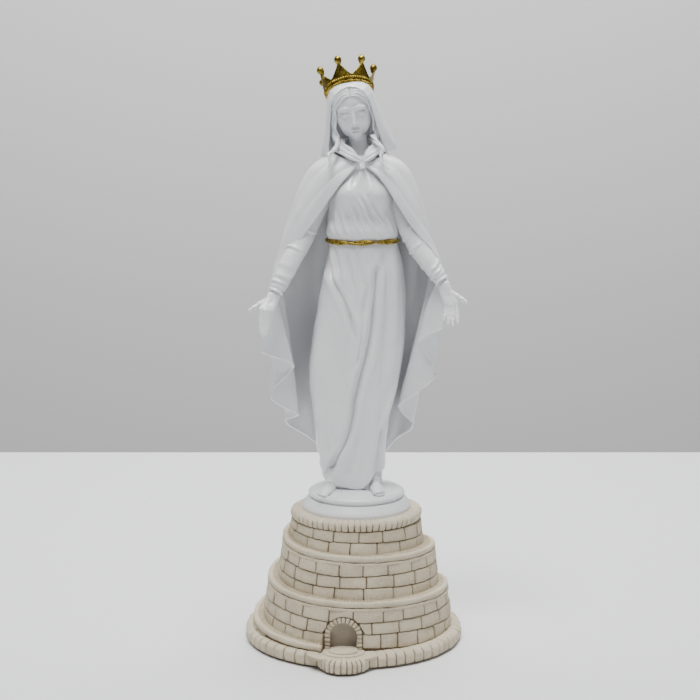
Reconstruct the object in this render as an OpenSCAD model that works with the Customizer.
// Crowned draped figure on a round plinth and a stone tower with an outside stair.
// Millimetres, +Z up, origin at the centre of the underside, front towards -Y.

/* [Tower] */
// Height of the tower from the shelf to the top of its coping
tower_h = 95; // [92:1:100]
// Outer radius of the rim of edge stones at the foot
rim_r = 78; // [76:1:80]
// Height of the rim above the shelf
rim_h = 10.5; // [9:0.5:12]
// Radius of the coping that carries the plinth
coping_r = 46.5; // [45:0.5:49]
// Height of the coping stones
coping_h = 7; // [5:0.5:9]
// Width of the kerb along the outside stair
kerb_w = 3.4; // [2.5:0.1:4]
// Height of the kerb above the stair
kerb_h = 4; // [3:0.5:5]

/* [Doorway] */
// Distance of the doorway's middle from the centre plane
door_x = -7; // [-12:1:0]
// Clear width of the doorway
door_w = 18.5; // [14:0.5:22]
// Height of the doorway's crown above its threshold
door_h = 19; // [15:0.5:22]
// Width of the ring of arch stones
arch_w = 3.5; // [2.5:0.5:4.5]

/* [Plinth] */
// Radius of the lower plinth disc at its foot
plinth_r = 38.5; // [36:0.5:42]
// Radius of the upper plinth disc
disc_r = 34; // [32:0.5:36]
// Rise of the domed top
dome_h = 4.5; // [3:0.5:6]

/* [Figure] */
// Height of the belt above the shelf
belt_z = 285; // [283:1:287]
// Thickness of the mantle's cloth
cloth_t = 2; // [1.6:0.2:2.4]

/* [Crown] */
// Inner radius of the crown at its lower edge
crown_r = 14.6; // [14.4:0.1:15]
// Height of the crown's band
band_h = 5.5; // [4:0.5:7]
// Number of points round the crown
n_points = 7; // [5:1:7]
// Height of the crown's points above its lower edge
point_h = 15.5; // [12:0.5:17]

/* [Hidden] */

stone = "#cfc3ae";
white = "#e9ebee";
gold = "#a8872f";
steel = "#9a9ca0";

felt_t = 1.5;
plate_t = 3;
plate_r = 60;
plate_z = felt_t + plate_t;
deck_z = tower_h - coping_h;
deck_t = 8;
screw_r = 1.6;
screw_ring = 52;
n_screws = 4;
rod_r = 3;
rod_play = 0.3;
rod_low = 68;
rod_high = 150;
plinth_h = 8;
groove_h = 1;
disc_h = 4;
disc_z = tower_h + plinth_h + groove_h;
dome_z = disc_z + disc_h;
hem_z = dome_z - 1;
porch = [-6.5, -72.5];
porch_r = 18;
porch_step_r = [13.5, 9.5];
porch_step_h = 1.1;
door_y = -68.6;
door_depth = 11;
arch_t = 6;
lean_x = 2;
niche_back = 1.5;
fit_gap = 0.3;

// ---- points, lofts and sweeps -------------------------------------------------

// Closed ellipse of n points, in the plane z.
function oval(cx, cy, a, b, z, n) =
    [for (i = [0:n - 1]) [cx + a * cos(360 * i / n), cy + b * sin(360 * i / n), z]];

// Ring of points round a place on a path, u and v being the section's axes.
function ring(at, u, v, r, n) =
    [for (i = [0:n - 1]) at + r * cos(360 * i / n) * u + r * sin(360 * i / n) * v];

function unit(v) = v / norm(v);

// Rings of radius r[i] along the points of path.
function tube_rings(path, r, n) =
    [for (i = [0:len(path) - 1])
        let (t = unit(path[min(i + 1, len(path) - 1)] - path[max(i - 1, 0)]),
             u = unit(cross(t, [0.1, 1, 0.05])),
             v = cross(t, u))
        ring(path[i], u, v, r[i], n)];

// Points of a smooth curve through the knots, steps to each span.
function curve(p, steps) =
    [for (i = [0:len(p) - 2], k = [0:(i == len(p) - 2 ? steps : steps - 1)])
        let (s = k / steps,
             a = p[max(i - 1, 0)], b = p[i], c = p[i + 1], d = p[min(i + 2, len(p) - 1)])
        0.5 * (2 * b + (c - a) * s + (2 * a - 5 * b + 4 * c - d) * s * s
               + (3 * b - a - 3 * c + d) * s * s * s)];

// Solid through a list of rings that all have the same number of points.
module loft(rings, closed = false) {
    n = len(rings[0]);
    m = len(rings);
    last = closed ? m - 1 : m - 2;
    polyhedron(
        points = [for (r = rings) each r],
        faces = concat(
            [for (i = [0:last], j = [0:n - 1])
                let (k = (i + 1) % m, j2 = (j + 1) % n)
                [i * n + j, k * n + j, k * n + j2, i * n + j2]],
            closed ? [] : [[for (j = [0:n - 1]) j],
                           [for (j = [n - 1:-1:0]) (m - 1) * n + j]]));
}

// Solid between two sheets of points with the same rows and columns.
module shell(outer, inner) {
    rows = len(outer);
    n = len(outer[0]);
    half = rows * n;
    end = (rows - 1) * n;
    cells = [for (i = [0:rows - 2], j = [0:n - 2]) i * n + j];
    polyhedron(
        points = concat([for (r = outer) each r], [for (r = inner) each r]),
        faces = concat(
            [for (k = cells) each [[k, k + n + 1, k + 1], [k, k + n, k + n + 1]]],
            [for (k = cells) let (m = half + k) each [[m, m + 1, m + n + 1], [m, m + n + 1, m + n]]],
            [for (j = [0:n - 2]) each [[j, j + 1, half + j + 1], [j, half + j + 1, half + j]]],
            [for (j = [0:n - 2]) let (k = end + j)
                each [[k, half + k, half + k + 1], [k, half + k + 1, k + 1]]],
            [for (i = [0:rows - 2]) let (k = i * n)
                each [[k, half + k, half + k + n], [k, half + k + n, k + n]]],
            [for (i = [0:rows - 2]) let (k = i * n + n - 1)
                each [[k, half + k + n, half + k], [k, k + n, half + k + n]]]));
}

// Sheet moved inwards along its own normals.
function inset(s, t) =
    [for (i = [0:len(s) - 1]) [for (j = [0:len(s[0]) - 1])
        let (du = s[i][min(j + 1, len(s[0]) - 1)] - s[i][max(j - 1, 0)],
             dv = s[min(i + 1, len(s) - 1)][j] - s[max(i - 1, 0)][j])
        s[i][j] - t * unit(cross(du, dv))]];

module capsule(a, b, ra, rb, fn = 12) {
    hull() {
        translate(a) sphere(r = ra, $fn = fn);
        translate(b) sphere(r = rb, $fn = fn);
    }
}

// ---- tower ----------------------------------------------------------------------

// The stair starts beside the door and climbs clockwise, seen from above. t counts turns,
// and the whole tower leans a little to one side as it rises.
stair_from = 252;
stair_turns = 2.4;
turn_n = 36;
stair_n = round(stair_turns * turn_n);
wall_lean = 0.13;
foot_r = rim_r - 12.5;
neck_r = coping_r - 1.3;
// The stair climbs slowly across the front and faster round the back
function stair_z(t) = rim_h + 1.9 + 29.2 * t - 3.6 * sin(360 * (t - 0.93));
function stair_r(t) = rim_r - 4.8 - 10.1 * t;
function wall_top_z(t) = t > stair_turns ? deck_z : stair_z(t);
function wall_top_r(t) = t > stair_turns ? neck_r : stair_r(t);
function wall_r(t, z) = wall_top_r(t + 1) + wall_lean * (wall_top_z(t + 1) - z);
function at_turn(t, r, z) = [r * cos(stair_from - 360 * t) + lean_x * z / tower_h,
                             r * sin(stair_from - 360 * t), z];

// Points of the tower's skin, ring after ring: the foot inside the rim, the wall's foot on the
// rim, the stair's outer and inner edges along the helix, and the top under the coping.
ids_low = 2 * turn_n;
ids_out = ids_low + turn_n + 1;
ids_in = ids_out + stair_n + 1;
ids_top = ids_in + stair_n;
skin_points = concat(
    [for (z = [felt_t, rim_h], j = [0:turn_n - 1]) at_turn(j / turn_n, foot_r, z)],
    [for (j = [-turn_n:0]) at_turn(j / turn_n, wall_r(j / turn_n, rim_h), rim_h)],
    [for (j = [0:stair_n]) let (t = j / turn_n) at_turn(t, stair_r(t), stair_z(t))],
    [for (j = [0:stair_n - 1]) let (t = j / turn_n)
        at_turn(t, wall_r(t, stair_z(t)), stair_z(t))],
    [for (j = [0:turn_n - 1]) at_turn((stair_n + j) / turn_n, neck_r, deck_z)]);
function low_id(j) = ids_low + turn_n + j;
function in_id(j) = j == stair_n ? ids_out + j : ids_in + j;
function foot_id(j) = j < 0 ? low_id(j) : in_id(j);
function top_id(j) = ids_top + (j - stair_n) % turn_n;
skin_faces = concat(
    [[for (j = [turn_n - 1:-1:0]) j], [for (j = [0:turn_n - 1]) ids_top + j]],
    [for (j = [0:turn_n - 1]) let (k = (j + 1) % turn_n) [j, k, turn_n + k, turn_n + j]],
    [for (j = [0:turn_n - 1]) let (k = (j + 1) % turn_n, a = low_id(j - turn_n))
        j == 0 ? [a, low_id(0), turn_n, turn_n + k, a + 1] : [a, turn_n + j, turn_n + k, a + 1]],
    [[low_id(0), low_id(-turn_n), ids_out, ids_in]],
    [for (j = [0:stair_n - 1]) j == stair_n - 1 ? [ids_out + j, ids_out + j + 1, ids_in + j]
        : [ids_out + j, ids_out + j + 1, ids_in + j + 1, ids_in + j]],
    [for (j = [0:stair_n + turn_n - 1])
        let (a = foot_id(j - turn_n), b = foot_id(j + 1 - turn_n),
             c = j < stair_n ? ids_out + j + 1 : top_id(j + 1),
             d = j <= stair_n ? ids_out + j : top_id(j))
        each (j == turn_n - 1 ? [[a, low_id(0), d], [low_id(0), b, d], [b, c, d]]
              : [[a, b, d], [b, c, d]])],
    [[top_id(stair_n + 1), top_id(stair_n), ids_out + stair_n]]);

module door_outline(w, h) {
    spring = h - w * 0.5;
    translate([-w / 2, 0]) square([w, spring]);
    translate([0, spring]) difference() {
        circle(r = w / 2, $fn = 48);
        translate([-w, -2 * w]) square(2 * w);
    }
}

module door_shape(w, h, depth) {
    translate([door_x, door_y, rim_h]) rotate([90, 0, 0])
        mirror([0, 0, 1]) linear_extrude(depth) door_outline(w, h);
}

module tower_body() color(stone) difference() {
    polyhedron(points = skin_points, faces = skin_faces);
    difference() {
        translate([lean_x / 2, 0, plate_z - 1])
            cylinder(r1 = 58, r2 = 34, h = deck_z - deck_t - plate_z + 1, $fn = 48);
        for (i = [0:n_screws - 1]) rotate(45 + 360 * i / n_screws)
            translate([screw_ring, 0, 0]) cylinder(r = 6, h = 22, $fn = 24);
        door_shape(door_w + 6, door_h + 3, door_depth + 3.5);
    }
    translate([0, 0, felt_t - 1]) cylinder(r = plate_r, h = plate_t + 1, $fn = 96);
    translate([lean_x, 0, rod_low]) cylinder(r = rod_r + rod_play, h = 40, $fn = 24);
    door_shape(door_w, door_h, door_depth);
    arch_block(0);
    for (i = [0:n_screws - 1]) rotate(45 + 360 * i / n_screws)
        translate([screw_ring, 0, 0]) cylinder(r = screw_r, h = 15, $fn = 24);
}

// Ring of arch stones standing proud of the wall.
module arch_block(bore) {
    difference() {
        door_shape(door_w + 2 * arch_w, door_h + arch_w, arch_t);
        if (bore) translate([0, -1, -1]) door_shape(door_w, door_h + 1, arch_t + 2);
    }
}

module arch_surround() color(stone) arch_block(1);

module niche_panel() color("#8d857a")
    translate([0, door_depth - niche_back, 0]) door_shape(door_w, door_h, niche_back);

module stair_kerb() color(stone)
    loft([for (j = [0:stair_n])
        let (t = j / turn_n, r = stair_r(t), z = stair_z(t),
             in_r = max(r - kerb_w, wall_r(t == stair_n / turn_n ? stair_turns - 0.01 : t, z) + 0.1))
        [at_turn(t, r, z), at_turn(t, r, z + kerb_h - 1), at_turn(t, r - 0.9, z + kerb_h),
         at_turn(t, in_r + 0.6, z + kerb_h), at_turn(t, in_r, z + kerb_h - 1),
         at_turn(t, in_r, z)]]);

module rim_section() {
    round_r = 3;
    difference() {
        square([rim_r, rim_h - felt_t]);
        translate([rim_r - round_r, rim_h - felt_t - round_r]) difference() {
            square(round_r + 1);
            circle(r = round_r, $fn = 32);
        }
    }
}

module base_rim() color(stone) translate([0, 0, felt_t]) difference() {
    union() {
        rotate_extrude($fn = 120) rim_section();
        translate([porch[0], porch[1], 0]) cylinder(r = porch_r, h = rim_h - felt_t, $fn = 64);
    }
    translate([0, 0, -1]) cylinder(r = rim_r - 12, h = rim_h + 2, $fn = 96);
}

module doorstep() color(stone) difference() {
    translate([door_x, -66, rim_h]) {
        cylinder(r = porch_step_r[0], h = porch_step_h, $fn = 64);
        cylinder(r = porch_step_r[1], h = 2 * porch_step_h, $fn = 64);
    }
    translate([-50, -70, 0]) cube([100, 100, 40]);
    door_shape(door_w + 2 * arch_w, door_h + arch_w, 20);
}

module top_coping() color(stone) difference() {
    translate([lean_x, 0, deck_z]) {
        cylinder(r1 = coping_r - 1.5, r2 = coping_r, h = 2, $fn = 96);
        translate([0, 0, 2]) cylinder(r = coping_r, h = coping_h - 3.5, $fn = 96);
        translate([0, 0, coping_h - 1.5]) cylinder(r1 = coping_r, r2 = coping_r - 1.5, h = 1.5, $fn = 96);
    }
    translate([lean_x, 0, 0]) cylinder(r = rod_r + rod_play, h = tower_h + 1, $fn = 24);
}

module felt_pad() color("#4b4038") {
    cylinder(r = rim_r - 5, h = felt_t, $fn = 96);
    translate([porch[0], porch[1], 0]) cylinder(r = porch_r - 4, h = felt_t, $fn = 64);
}

module bottom_plate() color("#8a6d4c") difference() {
    translate([0, 0, felt_t]) cylinder(r = plate_r - fit_gap, h = plate_t, $fn = 96);
    translate([0, 0, felt_t - 1]) cylinder(r = 12, h = plate_t + 2, $fn = 48);
    for (i = [0:n_screws - 1]) rotate(45 + 360 * i / n_screws) translate([screw_ring, 0, felt_t]) {
        translate([0, 0, -1]) cylinder(r = screw_r + 0.2, h = plate_t + 2, $fn = 24);
        cylinder(r1 = 2 * screw_r + 0.2, r2 = screw_r + 0.2, h = screw_r, $fn = 24);
    }
}

module plate_screws() color(steel)
    for (i = [0:n_screws - 1]) rotate(45 + 360 * i / n_screws) translate([screw_ring, 0, felt_t]) {
        cylinder(r1 = 2 * screw_r, r2 = screw_r, h = screw_r, $fn = 24);
        cylinder(r = screw_r, h = 13, $fn = 24);
    }

// ---- fixing and plinth ------------------------------------------------------------

module fixing_rod() color(steel)
    translate([lean_x, 0, rod_low]) cylinder(r = rod_r, h = rod_high - rod_low, $fn = 32);

washer_t = 1.6;
module rod_washer() color(steel) translate([lean_x, 0, deck_z - deck_t - washer_t]) difference() {
    cylinder(r = 9, h = washer_t, $fn = 48);
    translate([0, 0, -1]) cylinder(r = rod_r + rod_play, h = washer_t + 2, $fn = 32);
}

nut_h = 5;
module rod_nut() color(steel) translate([lean_x, 0, deck_z - deck_t - washer_t - nut_h]) difference() {
    cylinder(r = 5.8, h = nut_h, $fn = 6);
    translate([0, 0, -1]) cylinder(r = rod_r, h = nut_h + 2, $fn = 32);
}

module plinth_lower() color(white) translate([lean_x, 0, tower_h]) difference() {
    rotate_extrude($fn = 120) polygon([
        [0, 0], [plinth_r, 0], [plinth_r, 2], [plinth_r - 0.8, 3.6], [disc_r + 0.5, plinth_h],
        [disc_r - 1.4, plinth_h], [disc_r - 1.4, plinth_h + groove_h], [0, plinth_h + groove_h]
    ]);
    translate([0, 0, -1]) cylinder(r = rod_r + rod_play, h = 20, $fn = 32);
}

// Upper disc: a rounded edge, a raised bead and a shallow dome.
module plinth_upper() color(white) translate([lean_x, 0, disc_z]) difference() {
    rotate_extrude($fn = 120) union() {
        translate([0, 0]) square([disc_r - 1.8, disc_h]);
        translate([disc_r - 1.8, 1.8]) circle(r = 1.8, $fn = 32);
        translate([disc_r - 2.8, disc_h - 1.2]) circle(r = 1.5, $fn = 32);
        polygon(concat([[0, disc_h - 0.5]],
            [for (i = [0:12]) let (x = (disc_r - 4) * (1 - i / 12))
                [x, disc_h - 0.5 + (dome_h + 0.5) * (1 - pow(x / (disc_r - 4), 2))]]));
    }
    translate([0, 0, -1]) cylinder(r = rod_r + rod_play, h = 20, $fn = 32);
}

// ---- gown -------------------------------------------------------------------------

// height, centre x, half width, centre y, half depth
gown = [
    [106, 1, 19.5, -1, 17.5], [125, 0, 21, -1, 18.5], [150, -1, 24.5, -1, 20], [170, 0, 28, 0, 21.5],
    [185, 1, 30.5, 0, 22], [213, 3.5, 31.5, 0, 22], [243, 6, 29.5, 0, 21], [265, 7, 26.5, -1, 19],
    [280, 6.8, 24, -2, 17.5], [290, 5.8, 24.5, -2, 18], [309, 5, 22.5, -3, 18.5],
    [320, 5, 21.5, -3.5, 18], [332, 5, 18.5, -2, 14], [338, 5, 14, -1, 11], [343, 5, 9, -1, 9]
];
function gown_at(z, k) = lookup(z, [for (g = gown) [g[0], g[k]]]);
function gown_oval(z, grow = 0) =
    oval(gown_at(z, 1), gown_at(z, 3), gown_at(z, 2) + grow, gown_at(z, 4) + grow, z, 40);

module gown_from(z0, z1, steps, grow = 0)
    loft([for (i = [0:steps]) gown_oval(z0 + (z1 - z0) * i / steps, grow)]);

module skirt() color(white) difference() {
    gown_from(hem_z, belt_z, 14);
    translate([lean_x, 0, 100]) cylinder(r = rod_r, h = rod_high - 100, $fn = 32);
    foot_solid(right_foot_at, right_foot_turn, 1.01);
    foot_solid(left_foot_at, left_foot_turn, 1.01);
    plinth_cut();
}

module bodice() color(white) gown_from(belt_z, 340, 9);

module belt_cord() color(gold) difference() {
    for (dz = [-1, 1])
        loft([for (i = [0:35])
            let (p = oval(gown_at(belt_z, 1), gown_at(belt_z, 3), gown_at(belt_z, 2) + 0.9,
                          gown_at(belt_z, 4) + 0.9, belt_z + 1.3 * dz, 36)[i],
                 u = unit([p[0] - gown_at(belt_z, 1), p[1] - gown_at(belt_z, 3), 0]))
            ring(p, [0, 0, 1], u, 1.3, 8)], closed = true);
    gown_from(belt_z - 8, belt_z + 8, 4, 0.05);
}

// ---- feet -------------------------------------------------------------------------

right_foot_at = [-17, -13, dome_z + 0.6];
right_foot_turn = -28;
left_foot_at = [15, -14, dome_z + 1];
left_foot_turn = 14;

module foot_solid(at, turn, grow = 1)
    translate(at) rotate([4, 0, turn]) scale(grow) {
        hull() {
            translate([0, -8, 1.4]) scale([1.3, 1, 0.7]) sphere(r = 3.6, $fn = 14);
            translate([0, 6, 4]) sphere(r = 5, $fn = 14);
            translate([0, 4, 8]) sphere(r = 4, $fn = 14);
        }
        hull() {
            translate([-3, -11, 0.8]) sphere(r = 1.9, $fn = 12);
            translate([3.2, -10, 0.6]) sphere(r = 1.5, $fn = 12);
        }
    }

module right_foot() color(white) difference() {
    foot_solid(right_foot_at, right_foot_turn);
    plinth_cut();
}

module left_foot() color(white) difference() {
    foot_solid(left_foot_at, left_foot_turn);
    plinth_cut();
}

// Everything up to the domed top of the plinth and the bead round it.
module plinth_cut() translate([lean_x, 0, dome_z - 10])
    rotate_extrude($fn = 96) polygon(concat([[0, 0], [disc_r + 2, 0], [disc_r + 2, 10.4]],
        [for (i = [0:12]) let (x = (disc_r - 4) * (1 - i / 12))
            [x, max(10.4, 9.6 + (dome_h + 0.5) * (1 - pow(x / (disc_r - 4), 2)))]]));

// ---- mantle -----------------------------------------------------------------------

// Rows run from the neck to the hem. In a row, points run from one front edge round the back
// to the other front edge, and the hem's points stand on the pleats' folds.
mantle_net = [
    [[4, -16, 338.5], [-3, -15, 341], [-9, -11, 343.5], [-13.5, -4, 345], [-14.5, 2, 346],
     [-12, 7, 347], [-6, 10.5, 348], [2, 12, 348], [10, 10.5, 348], [17.5, 7.5, 347],
     [21.5, 2, 346], [21.5, -4, 345], [18, -10, 343.5], [13, -15, 341], [7, -16, 338.5]],
    [[-9, -20.5, 325], [-16, -18.5, 328], [-24, -13.5, 331], [-30.5, -6, 332.5], [-32.5, 3, 331.5],
     [-27, 12, 329], [-15, 17, 328], [3, 19, 328], [19, 17, 328], [32, 12, 330],
     [38, 3, 333], [37, -6, 334], [31, -12.5, 333], [25, -17.5, 330.5], [19, -20.5, 328]],
    [[-27, -16, 299], [-34, -16, 300], [-40.5, -12, 301], [-44.5, -4, 301], [-44, 5, 300],
     [-36, 15.5, 298], [-20, 22, 298], [3, 24.5, 298], [24, 22, 298], [41, 15.5, 298],
     [50, 5, 299], [50.5, -4, 301], [47, -11, 302], [43, -15, 300], [38, -16, 298]],
    [[-56.5, -14, 259.5], [-56, -9, 262], [-55.5, -4, 264.5], [-53, 2, 268], [-50, 8.5, 268],
     [-40, 18.5, 265], [-24, 25.5, 262], [2, 28, 262], [26, 25.5, 262], [43, 18.5, 266],
     [53, 9, 270], [56, 3, 272], [58.5, -3, 272], [60, -8, 271], [60.5, -13, 270]],
    [[-62, -13, 234], [-50, -6, 228], [-58.5, 1, 222], [-46, 5.5, 214], [-50.5, 13, 212],
     [-38, 22, 200], [-22, 28, 195], [0, 30.5, 192], [22, 28, 194], [38, 22, 198],
     [51, 13, 208], [45, 5.5, 215], [60, 1, 228], [52, -6, 238], [64, -13, 246]],
    [[-65, -13, 208], [-43, -5, 196], [-59, 2, 174], [-40, 6, 160], [-49, 13, 153],
     [-32, 20, 140], [-18, 24, 127], [0, 26, 121], [19, 24, 126], [32, 20, 140],
     [43, 13, 150], [33, 6, 166], [57.5, 2, 189], [46, -5, 213], [62, -13, 225]]
];

// The net's columns made smooth, then its rows.
function smooth_sheet(net, steps) =
    let (down = [for (j = [0:len(net[0]) - 1]) curve([for (r = net) r[j]], steps)])
    [for (i = [0:len(down[0]) - 1]) curve([for (c = down) c[i]], steps)];

mantle_sheet = smooth_sheet(mantle_net, 2);

module mantle_solid() shell(mantle_sheet, inset(mantle_sheet, cloth_t));

module mantle() color(white) difference() {
    mantle_solid();
    gown_from(200, 343, 16, 0.1);
    sleeve_solid(right_arm, 0.1);
    sleeve_solid(left_arm, 0.1);
    hand_solid(right_palm, right_fingers, 0.1);
    hand_solid(left_palm, left_fingers, 0.1);
    head_solid(0.1);
    collar_solid();
}

collar_path = curve([
    [5.5, -17.5, 338], [-1, -16, 340.5], [-7, -11.5, 344], [-10, -4, 346.5], [-8, 4.5, 348.5],
    [2, 9, 349.5], [13, 5.5, 348.5], [17, -3, 346.5], [14.5, -11, 343.5], [10, -15.5, 340.5],
    [6.5, -17.5, 338]], 3);

module collar_solid() loft(tube_rings(collar_path, [for (p = collar_path) 2.1], 8));

module collar() color(white) difference() {
    collar_solid();
    gown_from(325, 343, 6, 0.05);
    head_solid(0.05);
}

// ---- arms and hands ---------------------------------------------------------------

right_arm = [[-30, -3, 298], [-36, -8, 285], [-44, -13.5, 270], [-53.4, -19, 251]];
left_arm = [[35, -3, 300], [41, -7, 287], [50, -12, 273], [60.6, -17, 258.5]];
arm_r = [7.5, 7.2, 6.6, 5.1];

module sleeve_solid(arm, grow = 0) {
    path = curve(arm, 3);
    loft(tube_rings(path, [for (i = [0:9]) lookup(i / 3, [for (k = [0:3]) [k, arm_r[k]]]) + grow], 16));
}

module right_sleeve() color(white) difference() {
    sleeve_solid(right_arm);
    gown_from(280, 320, 8, 0.05);
    pin_solid(right_arm[3], right_palm[0]);
}

module left_sleeve() color(white) difference() {
    sleeve_solid(left_arm);
    gown_from(280, 320, 8, 0.05);
    pin_solid(left_arm[3], left_palm[0]);
}

right_palm = [[-54.4, -20.2, 248.6], [-58.5, -26.5, 241.5]];
left_palm = [[61.6, -18, 256.2], [66.5, -22, 244.5]];
// Knuckle and tip of each finger, thumb first
right_fingers = [
    [[-58, -22, 247], [-71, -27, 239.5]], [[-63, -28.5, 240], [-63.4, -32, 224.5]],
    [[-60.6, -28.8, 239.3], [-61.4, -33, 222]], [[-58.3, -28.2, 239], [-59.8, -32, 223]],
    [[-56.2, -27, 239.3], [-58.2, -29.5, 226.5]]
];
left_fingers = [
    [[65, -20, 252], [77, -25, 245]], [[70.3, -23, 243.5], [71, -28.5, 231.5]],
    [[67.8, -23, 242], [67.6, -29, 229.5]], [[65.4, -22.5, 242], [64.6, -28, 230.5]],
    [[63.3, -21.5, 243], [62, -26, 233]]
];

module hand_solid(palm, fingers, grow = 0) {
    hull() {
        translate(palm[0]) sphere(r = 3.4 + grow, $fn = 14);
        translate(palm[1]) sphere(r = 3 + grow, $fn = 14);
        for (k = [1, 4]) translate(fingers[k][0]) sphere(r = 1.7 + grow, $fn = 12);
    }
    for (f = fingers) capsule(f[0], f[1], 1.7 + grow, 1.2 + grow, 8);
}

module right_hand() color(white) difference() {
    hand_solid(right_palm, right_fingers);
    sleeve_solid(right_arm, 0.02);
    pin_solid(right_arm[3], right_palm[0]);
}

module left_hand() color(white) difference() {
    hand_solid(left_palm, left_fingers);
    sleeve_solid(left_arm, 0.02);
    pin_solid(left_arm[3], left_palm[0]);
}

// Steel pin that holds a hand in its sleeve.
module pin_solid(a, b) {
    d = unit(b - a);
    loft([for (s = [-6, norm(b - a) + 1.5])
        ring(a + s * d, unit(cross(d, [0, 1, 0])), cross(d, unit(cross(d, [0, 1, 0]))), 0.8, 12)]);
}

module hand_pins() color(steel) {
    pin_solid(right_arm[3], right_palm[0]);
    pin_solid(left_arm[3], left_palm[0]);
}

// ---- head, hair and veil ----------------------------------------------------------

head_at = [-1.2, -1.5, 377];
head_tilt = [12, -9, 0];

module head_solid(grow = 0) {
    translate(head_at) rotate(head_tilt) hull() {
        translate([0, 1, 2]) scale([0.86, 1.05, 1]) sphere(r = 14 + grow, $fn = 28);
        translate([0, -6.5, -14]) sphere(r = 6 + grow, $fn = 20);
    }
    capsule([1, 1, 366], [5, 2, 337], 6.2 + grow, 7.2 + grow, 20);
}

module head() color(white) difference() {
    head_solid();
    gown_from(325, 343, 6, 0.02);
    hair_solid();
    crown_seat();
}

// Wavy hair that frames the face under the veil.
hair_paths = [for (side = [-1, 1]) curve([
    [0.4 * side, -12.2, 14.2], [5.5 * side, -11.3, 11.5], [10.2 * side, -8.4, 5.5],
    [12.2 * side, -5, -2.5], [12.6 * side, -2.2, -10], [12.5 * side, -1, -17]], 3)];

module hair_solid() translate(head_at) rotate(head_tilt)
    for (p = hair_paths) loft(tube_rings(p, [for (i = [0:len(p) - 1]) 2.2], 8));

module hair() color(white) hair_solid();

right_lock_path = curve([[-10.5, -8, 357], [-9, -12.5, 351.5], [-11.5, -16, 347.5],
    [-14.5, -19, 343], [-15, -20.5, 338.5], [-13.2, -21.5, 334.5]], 3);
left_lock_path = curve([[13, -9, 357], [16, -13, 352.5], [19.5, -16.5, 348.5],
    [18.5, -18.5, 343.5], [20, -20.5, 338.5], [24, -21, 335.5]], 3);

module lock_solid(path) loft(tube_rings(path, [for (i = [0:len(path) - 1])
    2.1 - 1.1 * i / (len(path) - 1)], 8));

module lock_cut() {
    mantle_solid();
    collar_solid();
    head_solid(0.02);
    hair_solid();
    veil_solid(0.02);
    gown_from(325, 343, 6);
}

module right_lock() color(white) difference() {
    lock_solid(right_lock_path);
    lock_cut();
}

module left_lock() color(white) difference() {
    lock_solid(left_lock_path);
    lock_cut();
}

// Rows of the veil from its top down to the shoulders, in the head's own frame. Each runs from
// one front edge round the back to the other, and gap is half the opening's angle.
function veil_row(k) =
    let (z = [18.3, 17, 13.5, 8, 0, -10, -20, -30][k],
         a = [3, 8, 12.8, 15.6, 16.6, 18, 21, 25.5][k],
         b = [3.4, 9, 13.6, 16.5, 17.4, 17.6, 16.5, 14][k],
         gap = [6, 6, 8, 28, 42, 50, 56, 60][k])
    [for (i = [0:16]) let (s = -90 + gap + i / 16 * (360 - 2 * gap))
        [a * cos(s), b * sin(s), z]];

veil_sheet = [for (k = [0:7]) [for (p = veil_row(k)) let (q = rotate_by(p)) q + head_at]];

// Turns a point by head_tilt, as rotate() does.
function rotate_by(p) =
    let (cx = cos(head_tilt[0]), sx = sin(head_tilt[0]), cy = cos(head_tilt[1]), sy = sin(head_tilt[1]),
         a = [p[0], cx * p[1] - sx * p[2], sx * p[1] + cx * p[2]])
    [cy * a[0] + sy * a[2], a[1], -sy * a[0] + cy * a[2]];

module veil_solid(grow = 0) {
    outer = inset(veil_sheet, -grow);
    shell(outer, inset(veil_sheet, 1.8 + grow));
}

module veil() color(white) difference() {
    veil_solid();
    head_solid(0.05);
    hair_solid();
    mantle_solid();
    collar_solid();
    crown_seat();
}

// ---- crown ------------------------------------------------------------------------

crown_at = [-2.8, 4, 385.3];
crown_turn = [-31, -9.3, 0];
crown_phase = -12.9;
pin_r = 0.6;
pin_l = 5;

module in_crown_frame() translate(crown_at) rotate(crown_turn) children();

module band_section(inner)
    polygon([[inner, 0], [crown_r + 1.6, 0], [crown_r + 2.4, band_h], [inner + 0.9, band_h]]);

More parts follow.
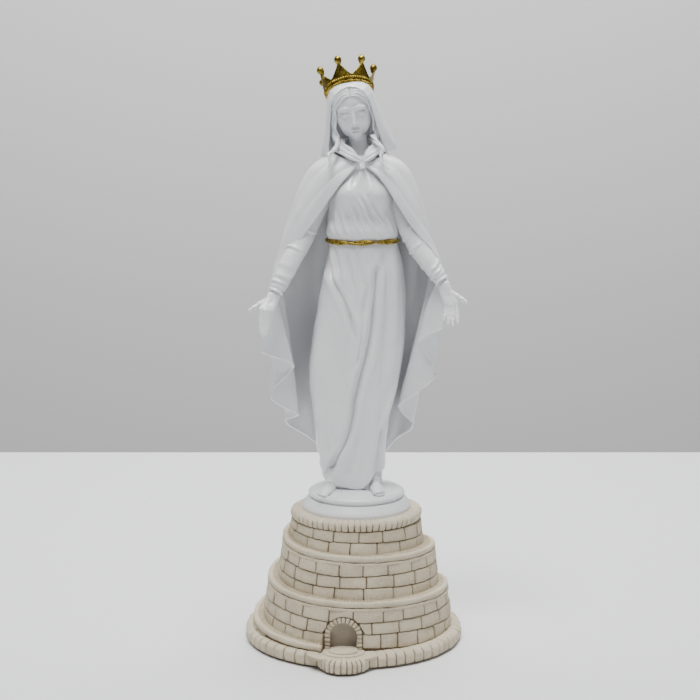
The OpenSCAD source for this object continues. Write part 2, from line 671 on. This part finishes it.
module crown_band() color(gold) in_crown_frame()
    rotate_extrude($fn = 72) band_section(crown_r);

module crown_points() color(gold) in_crown_frame()
    for (i = [0:n_points - 1]) rotate(crown_phase + 360 * i / n_points - 90) hull() {
        translate([crown_r + 1.6, -4.2, band_h]) cube([0.8, 8.4, 0.1]);
        translate([crown_r + 3.4, -1.1, point_h - 1.4]) cube([1.2, 2.2, 0.4]);
    }

module crown_balls() color(gold) in_crown_frame()
    for (i = [0:n_points - 1]) rotate(crown_phase + 360 * i / n_points - 90)
        hull() for (s = [0, 2.2])
            translate([crown_r + 4.1 + 0.4 * s, 0, point_h + 1.3 + s]) sphere(r = 2.3, $fn = 24);

module crown_beading() color(gold) in_crown_frame()
    for (z = [0.9, band_h - 0.7]) rotate_extrude($fn = 72) difference() {
        translate([crown_r + 1.6 + 0.8 * z / band_h, z]) circle(r = 0.7, $fn = 16);
        band_section(crown_r - 3);
    }

module crown_pin() color(gold) in_crown_frame()
    rotate(90) translate([crown_r + 0.8, 0, -pin_l]) cylinder(r = pin_r, h = pin_l, $fn = 24);

// Room for the crown to lift off: a seat round the head and a hole for the pin.
module crown_seat() in_crown_frame() {
    difference() {
        translate([0, 0, -fit_gap]) cylinder(r = crown_r + 9, h = 45, $fn = 72);
        translate([0, 0, -1]) cylinder(r = crown_r - fit_gap, h = 47, $fn = 72);
    }
    rotate(90) translate([crown_r + 0.8, 0, -pin_l - fit_gap])
        cylinder(r = pin_r + fit_gap, h = pin_l + 1, $fn = 24);
}

// ---- the parts ----------------------------------------------------------------------

felt_pad();
bottom_plate();
plate_screws();
base_rim();
tower_body();
stair_kerb();
arch_surround();
niche_panel();
doorstep();
top_coping();
fixing_rod();
rod_nut();
rod_washer();
plinth_lower();
plinth_upper();
skirt();
bodice();
belt_cord();
mantle();
collar();
veil();
head();
hair();
right_lock();
left_lock();
right_sleeve();
left_sleeve();
right_hand();
left_hand();
hand_pins();
right_foot();
left_foot();
crown_band();
crown_points();
crown_balls();
crown_beading();
crown_pin();
